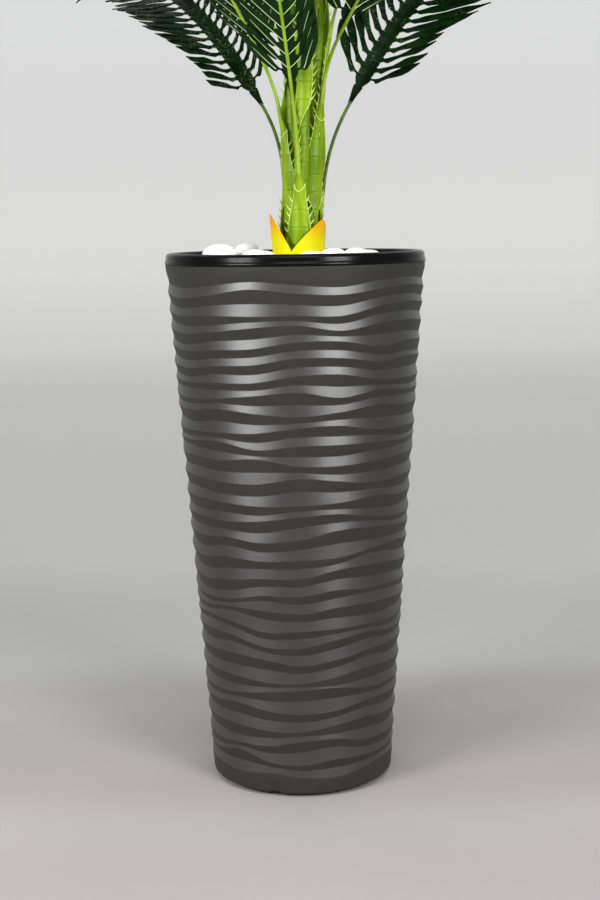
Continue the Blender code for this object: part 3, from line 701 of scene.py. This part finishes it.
def make_pebbles():
    """The single stones in their solids' places, and under them a fuller bed of loose ones."""
    top = Shape()
    names = [f"pebble_{k + 1:02d}" for k in range(PEBBLE_COUNT)]
    for seed, name in enumerate(names):
        add_stone(top, *stone_of_node(name, seed))
    top.piece("pebbles_top", "pebble", ["pebble"], names, sharp=180)
    rng = random.Random(23)
    bed = Shape()
    for ring, (radius, count) in enumerate(BED_RINGS):
        for i in range(count):
            turn = tau * (i + 0.5 * ring + rng.uniform(-0.15, 0.15)) / count
            centre = ring_place(radius + rng.uniform(-0.003, 0.003), turn, BED_MIDDLE + rng.uniform(-0.002, 0.002))
            length = PEBBLE_LENGTH * rng.uniform(0.72, 1.08)
            add_stone(bed, *free_stone(rng, centre, length, turn + pi / 2 + rng.uniform(-0.8, 0.8)))
    bed.piece("pebbles_bed", "pebble", ["pebble"], ["pebble_bed"], sharp=180)


# Stems, sheaths and stalks


def stem_point(name, height):
    stem = STEMS[name]
    up = max(height, FILL_TOP + STEM_FOOT) - POT_HEIGHT
    return Vector((stem["at"][0] + stem["lean"][0] * up, stem["at"][1] + stem["lean"][1] * up, height))


def stem_radius(name, height):
    foot = FILL_TOP + CLEAR
    share = (height - foot) / (STEMS[name]["top"] - foot)
    return mix(STEM_RADIUS, STEM_TIP_RADIUS, share) + STEM_FLARE * exp((foot - height) / 0.012)


def ring_relief(distance):
    """The groove of one ring and the lip above it, by the distance from the ring."""
    groove = exp(-((distance / (RING_HALF * 0.55)) ** 2))
    lip = exp(-(((distance - RING_HALF * 1.5) / (RING_HALF * 0.8)) ** 2))
    return RING_DEPTH * (0.6 * lip - groove)


def ring_heights(low, high, phase):
    """Heights between two ends, close together at each ring."""
    heights = {low, high}
    ring = low + phase
    while ring < high - RING_HALF * 3:
        for step in (-3.5, -1.4, -0.7, 0, 0.7, 1.5, 2.4, 3.5):
            if low < ring + step * RING_HALF < high:
                heights.add(ring + step * RING_HALF)
        ring += RING_PITCH
    return sorted(heights)


def make_stem(name, number):
    """A ringed stem from its cut on the filling to a closed point."""
    foot, top = FILL_TOP + CLEAR, STEMS[name]["top"]
    phase = 0.006 + 0.004 * number
    rings = [foot + phase + RING_PITCH * k for k in range(int((top - foot) / RING_PITCH))]
    rows = []
    for height in ring_heights(foot, top, phase):
        nearest = min((height - ring for ring in rings), key=abs)
        radius = stem_radius(name, height) + STEM_SKIN
        closing = (height - (top - STEM_POINT)) / STEM_POINT
        if closing > 0:
            radius *= sqrt(max(0.0, 1 - closing * closing)) + 0.02
        row = []
        for i in range(STEM_SIDES):
            turn = tau * i / STEM_SIDES
            ripple = 0.00018 * noise.noise(Vector((3 * cos(turn), 3 * sin(turn), height * 14 + number * 9)))
            row.append(stem_point(name, height) + polar(radius + ring_relief(nearest) + ripple, turn))
        rows.append(row)
    shape = Shape()
    shape.rows(rows)
    shape.piece(f"stem_{name}_skin", "stem", ["stem"], [f"stem_{name}"], sharp=80)


def frond_shape(number):
    stem, neck, facing, lean, roll, petiole = FRONDS[number]
    share = number / (len(FRONDS) - 1)
    return SimpleNamespace(
        number=number, stem=stem, neck=neck, petiole=petiole,
        facing=radians(facing), lean=radians(lean), roll=radians(roll),
        blade=mix(BLADE_LOW, BLADE_HIGH, share), droop=mix(DROOP_LOW, DROOP_HIGH, share),
        sway=SWAY * sin(2.4 * number + 1.5))


def neck_point(frond):
    reach = stem_radius(frond.stem, frond.neck) + SHEATH_GAP + SHEATH_LIFT + PETIOLE_RADIUS * 0.9
    return stem_point(frond.stem, frond.neck) + polar(reach, frond.facing)


def rib_track(frond):
    """Point, way along, side and upper face of the stalk's axis, every TRACK_STEP from the neck."""
    point = neck_point(frond)
    total = frond.petiole + frond.blade
    track = []
    for step in range(int(total / TRACK_STEP) + 12):
        travelled = step * TRACK_STEP
        blade_share = max(0.0, (travelled - frond.petiole) / frond.blade)
        lean = mix(PETIOLE_LEAN, frond.lean, smooth(travelled / frond.petiole))
        lean += frond.droop * blade_share ** 1.5
        outward = polar(1, frond.facing + frond.sway * (travelled / total) ** 2)
        along = outward * sin(lean) + UP * cos(lean)
        level = UP.cross(outward)
        inward = UP * sin(lean) - outward * cos(lean)
        roll = frond.roll * smooth(travelled / frond.petiole)
        side = level * cos(roll) + inward * sin(roll)
        upper = inward * cos(roll) - level * sin(roll)
        track.append((point, along, side, upper))
        point = point + along * TRACK_STEP
    return track


def frame_at(track, place):
    """The track's frame at a distance from the neck."""
    at = min(max(place / TRACK_STEP, 0.0), len(track) - 1.001)
    k = int(at)
    return tuple(a.lerp(b, at - k) for a, b in zip(track[k], track[k + 1]))


def sheath_height(frond, share):
    height = frond.neck - SHEATH_LENGTH * (1 - share)
    return max(height, FILL_TOP + 0.006 + 0.02 * share)


def sheath_half(share):
    """Half the angle that the sheath clasps at a share of its length."""
    if share < SHEATH_WIDEST:
        return mix(SHEATH_FOOT, SHEATH_SPREAD, smooth(share / SHEATH_WIDEST))
    return mix(SHEATH_SPREAD, SHEATH_NECK, smooth((share - SHEATH_WIDEST) / (1 - SHEATH_WIDEST)))


def sheath_point(frond, share, across, depth=0.0):
    """A point of the sheath's outside. across runs from -1 to 1 over its width."""
    height = sheath_height(frond, share)
    lift = SHEATH_LIFT * smooth((share - SHEATH_WIDEST) / 0.26)
    swell = PETIOLE_RADIUS * 1.1 * smooth((share - 0.7) / 0.3)
    middle = SHEATH_THICK + swell * (1 - across * across)
    radius = stem_radius(frond.stem, height) + SHEATH_GAP + lift + middle - depth
    turn = sheath_half(share) * across
    flat = polar(radius, frond.facing + turn)
    sideways = polar(1, frond.facing + pi / 2)
    return stem_point(frond.stem, height) + flat + sideways * (radius * sin(turn) * (SHEATH_FLAT - 1))


SHEATH_RINGS = [0.09 + RING_PITCH / SHEATH_LENGTH * k for k in range(5)]


def sheath_shares():
    """Shares of the sheath's length for its rows, close together at each ring."""
    shares = {k / SHEATH_ROWS for k in range(SHEATH_ROWS + 1)}
    for ring in SHEATH_RINGS:
        shares |= {ring + step * RING_HALF / SHEATH_LENGTH for step in (-1.4, -0.7, 0, 0.7, 1.5, 2.4)}
    return sorted(s for s in shares if 0 <= s <= 1)


def sheath_row(frond, share):
    """A loop of points: over the outside from one edge to the other, and back inside."""
    nearest = min((share - ring for ring in SHEATH_RINGS), key=abs) * SHEATH_LENGTH
    row = []
    for k in range(OUTER_POINTS):
        across = 2 * k / (OUTER_POINTS - 1) - 1
        bow = RING_BOW * (across * across - 0.3) + RING_TILT * across * sin(frond.number * 2.1 + share * 40)
        relief = ring_relief(nearest + bow) * smooth((1 - abs(across)) / 0.45)
        row.append(sheath_point(frond, share, across, -relief))
    depth = SHEATH_THICK + PETIOLE_RADIUS * 0.9 * smooth((share - 0.7) / 0.3)
    for k in range(INNER_POINTS):
        row.append(sheath_point(frond, share, (1 - 2 * k / (INNER_POINTS - 1)) * 0.97, depth))
    return row


def stalk_row(frame_here, radius, groove):
    """A loop of points round the stalk in the same order, with a channel along its upper face."""
    point, _, side, upper = frame_here
    row = []
    for k in range(OUTER_POINTS):
        turn = radians(mix(-112, 112, k / (OUTER_POINTS - 1)))
        row.append(point + side * (radius * sin(turn)) - upper * (radius * cos(turn)))
    for k in range(INNER_POINTS):
        turn = radians(mix(118, 242, k / (INNER_POINTS - 1)))
        dip = groove * sin(pi * k / (INNER_POINTS - 1))
        row.append(point + side * (radius * sin(turn)) - upper * ((radius - dip) * cos(turn)))
    return row


def stalk_radius(frond, place):
    total = frond.petiole + frond.blade * 0.97
    slim = mix(1.0, PETIOLE_SLIM, smooth(place / 0.03))
    return mix(PETIOLE_RADIUS, RIB_TIP_RADIUS * 0.8, min(1.0, place / total)) * slim


def add_stalk(shape, frond, track, kind):
    """Sheath, stalk and rib in one skin."""
    rows = [sheath_row(frond, share) for share in sheath_shares()]
    split = len(rows) + 1
    total = frond.petiole + frond.blade * 0.97
    places = [0.010, 0.016, 0.024]
    while places[-1] < total - 0.008:
        places.append(places[-1] + 0.008)
    for place in places:
        rows.append(stalk_row(frame_at(track, place), stalk_radius(frond, place), 0.0005))
    shape.rows(rows[:split], caps=False)
    shape.rows(rows[split - 1:], kinds=kind, caps=False)


def add_sheath_trim(shape, frond, rng):
    """The pale edge along both sides of the sheath, its U at the neck, and the barbs."""
    shares = [0.04 + 0.96 * k / 24 for k in range(25)]
    for hand in (-1, 1):
        edge = [sheath_point(frond, share, hand) for share in shares]
        radii = [EDGE_RADIUS * mix(0.6, 1.0, smooth(k / 6)) for k in range(len(edge))]
        shape.tube(edge, radii, 5, kind=1)
    mouth = []
    for k in range(13):
        across = k / 6 - 1
        dip = 0.07 * (1 - across * across)
        mouth.append(sheath_point(frond, 1.0 - dip, across, -EDGE_RADIUS * 0.3))
    shape.tube(mouth, [EDGE_RADIUS * 1.1] * len(mouth), 5)
    count = int(SHEATH_LENGTH * 0.74 / BARB_PITCH)
    for hand in (-1, 1):
        for k in range(count):
            share = 0.17 + 0.74 * (k + rng.uniform(-0.15, 0.15)) / count
            if sheath_height(frond, share) < FILL_TOP + 0.03:
                continue
            add_barb(shape, frond, share, hand, rng)


def add_barb(shape, frond, share, hand, rng):
    """A thin point that springs from the sheath's edge, up and away from it."""
    root = sheath_point(frond, share, hand)
    inside = sheath_point(frond, share, hand * 0.8)
    tangent = (root - inside).normalized()
    radial = root - stem_point(frond.stem, root.z)
    radial.z = 0
    radial.normalize()
    rise = radians(rng.uniform(54, 66))
    way = tangent * cos(rise) + UP * sin(rise) + radial * 0.22
    length = BARB_LENGTH * rng.uniform(0.8, 1.1) * mix(1.0, 0.75, share)
    tip = root + way.normalized() * length
    bend = root.lerp(tip, 0.5) + radial * 0.0004
    shape.tube([root, bend, tip], [BARB_RADIUS, BARB_RADIUS * 0.7, BARB_RADIUS * 0.15], 4)


# Blades


def leaflet_length(share):
    rise = mix(0.55, 1.0, smooth(share / 0.3))
    fall = 1 - 0.62 * smooth((share - 0.35) / 0.65)
    return LEAFLET_LENGTH * rise * fall


def leaflet_point(frame_here, hand, length, share, swing=0.0):
    """The middle line of a leaflet that curves towards the blade's tip and sags."""
    point, along, side, upper = frame_here
    turn = mix(LEAFLET_START, LEAFLET_END, share * 0.5) + swing * smooth(share / 0.4)
    forward = length * share * cos(turn)
    out = BLADE_STRIP + length * share * sin(turn)
    lateral = side * hand * cos(KEEL) + upper * sin(KEEL)
    sag = upper * (length * 0.10 * share * share)
    return point + upper * BLADE_LIFT + along * forward + lateral * out - sag


def leaflet_taper(share, reach, depth):
    """A leaflet's width against its room: less along the slot, more past the middle, and a blunt point."""
    slot = sin(pi * min(1.0, share / reach))
    swell = mix(1.0, 1.42, smooth((share - reach) / 0.22))
    return (swell - depth * slot) * (1 - max(0.0, (share - 0.62) / 0.38) ** 1.9)


def leaf_loop(centre, across, normal, half, crinkle):
    """Eight points round a leaflet's section: the upper side's five, then three below."""
    section = [(-1, 0.0), (-0.52, 1.0), (0, 0.35), (0.52, 1.0), (1, 0.0)]
    section = [(place, LEAF_CROWN * height) for place, height in section]
    section += [(place, -BLADE_UNDER) for place in (0.52, 0, -0.52)]
    return [centre + across * (half * place) + normal * (height + crinkle[place >= 0] * abs(place))
            for place, height in section]


LEAF_KINDS = [0, 0, 0, 0, 1, 1, 1, 1]


def add_leaflet(leaves, veins, frond, track, place, pitch, hand, share, rng):
    """One leaflet with its part of the strip along the rib, and the vein under it."""
    here = frame_at(track, place)
    point, along, side, upper = here
    length = leaflet_length(share) * rng.uniform(0.88, 1.0) * FULLNESS.get((frond.number, hand), 1.0)
    swing = radians(rng.uniform(-2.4, 2.4) - SWEPT.get((frond.number, hand), 0.0))
    low = (1 - smooth(share / 0.26)) * (frond.number < LOW_SHADED_FRONDS)
    slot = [mix(a, b, low) for a, b in zip(SLOT, LONG_SLOT)]
    tilt = radians(rng.uniform(6, 14))
    width = rng.uniform(0.90, 1.06)
    waves = rng.uniform(0, tau), rng.uniform(0, tau)
    normal = upper * cos(KEEL) - side * hand * sin(KEEL)
    loops = []
    lowest = place - pitch < frond.petiole + frond.blade * LEAF_FIRST
    rib = point + upper * (BLADE_LIFT + 0.0002)
    back, ahead = frame_at(track, place - pitch / 2), frame_at(track, place + pitch / 2)
    for inward in (0.0, 0.42, 0.72):
        middle = rib.lerp(leaflet_point(here, hand, length, 0.0), inward)
        loops.append(strip_loop(back, ahead, middle, normal, hand, inward, 0.62 if lowest else 1.0))
    for s in LEAFLET_SHARES:
        centre = leaflet_point(here, hand, length, s, swing)
        step = leaflet_point(here, hand, length, s + 0.02, swing) - leaflet_point(here, hand, length, s - 0.02, swing)
        run = step.normalized()
        turned = Matrix.Rotation(tilt * smooth(s / 0.35) * hand, 3, run) @ normal
        across = run.cross(turned).normalized() * hand
        angle = mix(LEAFLET_START, LEAFLET_END, s)
        half = 0.5 * pitch * sin(angle) * width * leaflet_taper(s, *slot)
        free = smooth((s + 0.02) / 0.12)
        way = (along * -1).lerp(across, free).normalized()
        half = max(0.00025, mix(pitch / 2, half, free))
        if lowest:
            centre = centre + along * (pitch * 0.28 * (1 - smooth(s / 0.14)))
            half *= mix(0.44, 1.0, smooth(s / 0.14))
        wave = 0.0006 * smooth(s / 0.2)
        crinkle = [wave * sin(tau * 2.3 * s + phase) for phase in waves]
        loops.append(leaf_loop(centre, way, turned, half, crinkle))
    leaves.rows(loops, kinds=LEAF_KINDS)
    add_vein(veins, track, here, place, hand, length, swing, normal, lowest)


def strip_loop(back, ahead, middle, normal, hand, share, narrow):
    """A leaflet's section within the strip: it meets the next leaflets' sections edge to edge."""
    ends = []
    for end, share in ((ahead, share), (back, share * narrow)):
        point, _, side, upper = end
        lateral = side * hand * cos(KEEL) + upper * sin(KEEL)
        ends.append(point + upper * BLADE_LIFT + lateral * (BLADE_STRIP * share))
    first, last = ends
    upper_points = [first, first.lerp(middle, 0.5), middle, middle.lerp(last, 0.5), last]
    heights = (0.0, 0.0001, 0.0002, 0.0001, 0.0)
    loop = [p + normal * h for p, h in zip(upper_points, heights)]
    for p in (upper_points[3], upper_points[2], upper_points[1]):
        loop.append(p - normal * BLADE_UNDER)
    return loop


def add_vein(shape, track, here, place, hand, length, swing, normal, lowest):
    """The raised vein under a leaflet, from the rib outwards, ever finer. The lowest leaflet's starts on it."""
    start = frame_at(track, place - BLADE_STRIP * 0.75)
    root = start[0] + start[3] * (BLADE_LIFT * 0.35)
    strip = leaflet_point(here, hand, length, 0.0)
    bend = root.lerp(strip, 0.55) - normal * 0.0006
    path = [] if lowest else [root, bend]
    for s in (0.14, 0.22, 0.34, 0.46, VEIN_REACH) if lowest else (0.0, 0.08, 0.18, 0.30, 0.44, 0.56, VEIN_REACH):
        path.append(leaflet_point(here, hand, length, s, swing) - normal * (BLADE_UNDER + 0.0001))
    radii = [VEIN_RADIUS * mix(1.0, 0.30, k / (len(path) - 1)) for k in range(len(path))]
    shape.tube(path, radii, 4)


def add_wing(shape, track, low, high, half_low, half_high):
    """The uncut blade at its foot, which narrows to the stalk, or its pointed end."""
    section = [(place, 0.0004 * (1 - abs(place))) for place in (-1, -0.5, 0, 0.5, 1)]
    section += [(place, -BLADE_UNDER) for place in (0.5, 0, -0.5)]
    loops = []
    for k in range(12):
        share = k / 11
        point, _, side, upper = frame_at(track, mix(low, high, share))
        half = mix(half_low, half_high, smooth(share) if half_low < half_high else share)
        lift = BLADE_LIFT * (smooth(share / 0.6) if half_low < half_high else 1.0) + 0.0004
        centre = point + upper * lift
        loops.append([centre + side * (half * place * cos(KEEL))
                      + upper * (half * abs(place) * sin(KEEL) + height) for place, height in section])
    shape.rows(loops, kinds=LEAF_KINDS)


def add_blade(leaves, veins, frond, track, rng):
    """A frond's blade: foot, leaflets on both hands, and its pointed end."""
    start, blade = frond.petiole, frond.blade
    count = round(blade * (LEAF_LAST - LEAF_FIRST) / LEAFLET_PITCH)
    pitch = blade * (LEAF_LAST - LEAF_FIRST) / count
    first = start + blade * LEAF_FIRST
    add_wing(leaves, track, start - 0.012, first, 0.0022, BLADE_STRIP * 0.62)
    for hand in (-1, 1):
        for k in range(count):
            place = first + pitch * (k + 0.5)
            share = ((place - start) / blade - BLADE_FIRST) / (BLADE_LAST - BLADE_FIRST)
            add_leaflet(leaves, veins, frond, track, place, pitch, hand, max(0.0, share), rng)
    add_wing(leaves, track, first + pitch * count, start + blade, BLADE_STRIP * 0.8, 0.0003)


def make_plant():
    """Stems, stalks, blades, veins, edges and barbs, each kind joined apart."""
    for number, name in enumerate(STEMS):
        make_stem(name, number)
    stalks, trim = Shape(), Shape()
    leaves = {"low": Shape(), "high": Shape()}
    veins = {"low": Shape(), "high": Shape()}
    rng = random.Random(7)
    for number in range(len(FRONDS)):
        frond = frond_shape(number)
        track = rib_track(frond)
        # the lowest fronds' stalks take the darker green, painted shade
        add_stalk(stalks, frond, track, 2 if number < LOW_SHADED_FRONDS else 1)
        add_sheath_trim(trim, frond, rng)
        level = "low" if number < LOW_FRONDS else "high"
        add_blade(leaves[level], veins[level], frond, track, rng)
    every = range(1, len(FRONDS) + 1)
    stalks.piece("stalks_and_sheaths", "stalk", ["sheath", "stalk", "shaded stalk"],
                 [f"stalk_{k:02d}" for k in every], sharp=70)
    trim.piece("sheath_edges_and_barbs", "stalk", ["barb", "edge"], [], sharp=80)
    for level, numbers in (("low", every[:LOW_FRONDS]), ("high", every[LOW_FRONDS:])):
        leaves[level].piece(f"leaflets_{level}", "leaf", ["leaf", "under"],
                            [f"blade_{k:02d}" for k in numbers], sharp=60)
        veins[level].piece(f"veins_{level}", "stalk", ["vein"], [], sharp=80)


def make_bract(name, facing, tall, half_width, tilt):
    """A pointed cupped scale with a thin edge and a soft keel."""
    facing, half_width, tilt = (radians(angle) for angle in (facing, half_width, tilt))
    centre = Vector((*BRACT_CENTRE, 0))
    rows = []
    for k in range(29):
        share = k / 28
        height = FILL_TOP + CLEAR + tall * share
        width = half_width * min(1.0, ((1 - share) / BRACT_POINT)) ** 0.75 + radians(1.2)
        reach = BRACT_RADIUS + tall * tan(tilt) * share ** 1.6
        outer, inner = [], []
        for i in range(17):
            across = i / 8 - 1
            thick = BRACT_THICK * (1 - 0.75 * abs(across) ** 3) * mix(1.0, 0.5, share)
            keel = 0.0006 * exp(-((across / 0.12) ** 2))
            turn = facing + width * across
            outer.append(centre + polar(reach + BRACT_THICK * 0.5 + thick * 0.5 + keel, turn, height))
            inner.append(centre + polar(reach + BRACT_THICK * 0.5 - thick * 0.5, turn, height))
        rows.append(outer + list(reversed(inner)))
    shape = Shape()
    shape.rows(rows)
    shape.piece(f"{name}_scale", "bract", ["bract"], [name], sharp=60)


# Studio


# Painted light and shade on the studio paper: tones of the floor by the distance behind the planter's middle, with a
# painted shadow just behind the planter, and of the wall by its height, graded to stand in for how the light falls
FLOOR_SHADE_TONES = ((-3.4, (0.480, 0.476, 0.470)), (-2.5, (0.340, 0.336, 0.332)), (-1.7, (0.190, 0.186, 0.184)),
               (-1.0, (0.210, 0.204, 0.202)), (-0.42, (0.358, 0.333, 0.332)), (-0.28, (0.358, 0.333, 0.332)),
               (-0.15, (0.375, 0.352, 0.352)), (-0.04, (0.329, 0.300, 0.299)), (0.08, (0.322, 0.306, 0.303)),
               (0.22, (0.361, 0.354, 0.350)), (0.4, (0.438, 0.437, 0.430)), (0.6, (0.436, 0.436, 0.429)),
               (1.0, (0.496, 0.496, 0.490)), (3.4, (0.499, 0.499, 0.492)))
WALL_SHADE_TONES = ((0.0, (0.565, 0.565, 0.560)), (0.5, (0.64, 0.64, 0.635)), (1.05, (0.61, 0.612, 0.610)),
              (1.55, (0.63, 0.635, 0.633)), (2.5, (0.50, 0.507, 0.504)))
FLOOR_REACH = 3.4
WALL_CURVE = 2.4  # radius of the bend from the floor into the wall
WALL_TOP = 5.0
STAGE_SIDES = 96
KEY_POWER = 50
BOX_POWER = 42
WASH_POWER = 85
WORLD_STRENGTH = 0.28


def studio_material():
    """Pale grey paper with painted light and shade: a painted shadow where it passes behind the planter, and
    lightness graded along the floor and up the wall.
    """
    paint = Paint("studio pale grey painted shade")
    place = paint.node("ShaderNodeSeparateXYZ", [("Vector", paint.place())]).outputs
    floor, wall = paint.tones(place["Y"], FLOOR_SHADE_TONES), paint.tones(place["Z"], WALL_SHADE_TONES)
    # painted light and shade: the floor's tones along Y pass into the wall's tones up Z
    tone = paint.blend(paint.between(place["Z"], 0.01, 0.10), floor, wall)
    paint.tree.links.new(paint.shader.inputs["Base Color"], tone)
    paint.shader.inputs["Roughness"].default_value = 0.9
    return paint.material


def make_stage():
    """A pale round floor that curves up into a wall all round."""
    profile = [(0.0005, 0.0), (1.0, 0.0), (2.0, 0.0), (FLOOR_REACH, 0.0)]
    for k in range(1, 15):
        bend = pi / 2 * k / 14
        profile.append((FLOOR_REACH + WALL_CURVE * sin(bend), WALL_CURVE * (1 - cos(bend))))
    profile.append((FLOOR_REACH + WALL_CURVE, WALL_TOP))
    turns = [tau * i / STAGE_SIDES for i in range(STAGE_SIDES)]
    shape = Shape()
    shape.rows([[polar(radius, turn, height) for turn in turns] for radius, height in profile], caps=False)
    shape.faces.append(tuple(range(STAGE_SIDES - 1, -1, -1)))
    mesh = bpy.data.meshes.new("studio")
    mesh.from_pydata(shape.points, [], shape.faces)
    mesh.shade_smooth()
    mesh.materials.append(studio_material())
    add_object("studio", mesh)


def soft_light(name, place, aim, size, power):
    """A rectangular soft light at a place, turned to its aim."""
    data = bpy.data.lights.new(name, "AREA")
    data.shape = "RECTANGLE"
    data.size, data.size_y = size
    data.energy = power
    light = add_object(name, data)
    light.location = place
    light.rotation_euler = (Vector(aim) - Vector(place)).to_track_quat("-Z", "Y").to_euler()
    light.visible_camera = False


def make_lights():
    """A high soft key in front, two upright soft boxes for the streaks, and a wash on the wall behind."""
    soft_light("key", (0.1, -2.0, 2.9), (0, 0, 0.4), (2.0, 2.0), KEY_POWER)
    soft_light("left box", (-1.50, -1.36, 1.12), (0, 0, 0.50), (0.78, 0.75), BOX_POWER)
    soft_light("right box", (1.30, -1.74, 1.12), (0, 0, 0.50), (0.74, 0.75), BOX_POWER)
    for name, side in (("left wash", -1), ("right wash", 1)):
        soft_light(name, (2.2 * side, 2.6, 4.4), (1.6 * side, 5.6, 1.4), (2.4, 0.8), WASH_POWER)
    world = bpy.data.worlds.new("surround")
    bpy.context.scene.world = world
    world.use_nodes = True
    background = world.node_tree.nodes["Background"].inputs
    background["Color"].default_value = (1, 1, 1, 1)
    background["Strength"].default_value = WORLD_STRENGTH


def make_camera():
    data = bpy.data.cameras.new("camera")
    data.sensor_width = 36
    data.lens = CAMERA_LENS
    camera = add_object("camera", data)
    turned = Matrix.Rotation(pi / 2 - CAMERA_PITCH, 4, "X") @ Matrix.Rotation(-CAMERA_ROLL, 4, "Z")
    camera.matrix_world = Matrix.Translation(CAMERA_PLACE) @ turned
    bpy.context.scene.camera = camera


def main():
    bpy.context.scene.view_settings.view_transform = "Standard"
    make_camera()
    make_stage()
    make_lights()
    make_materials()
    make_planter()
    make_liner()
    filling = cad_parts["filling"]
    filling.data.materials.clear()
    filling.data.materials.append(MATERIALS["filling"])
    make_pebbles()
    make_plant()
    for bract in BRACTS:
        make_bract(*bract)


main()
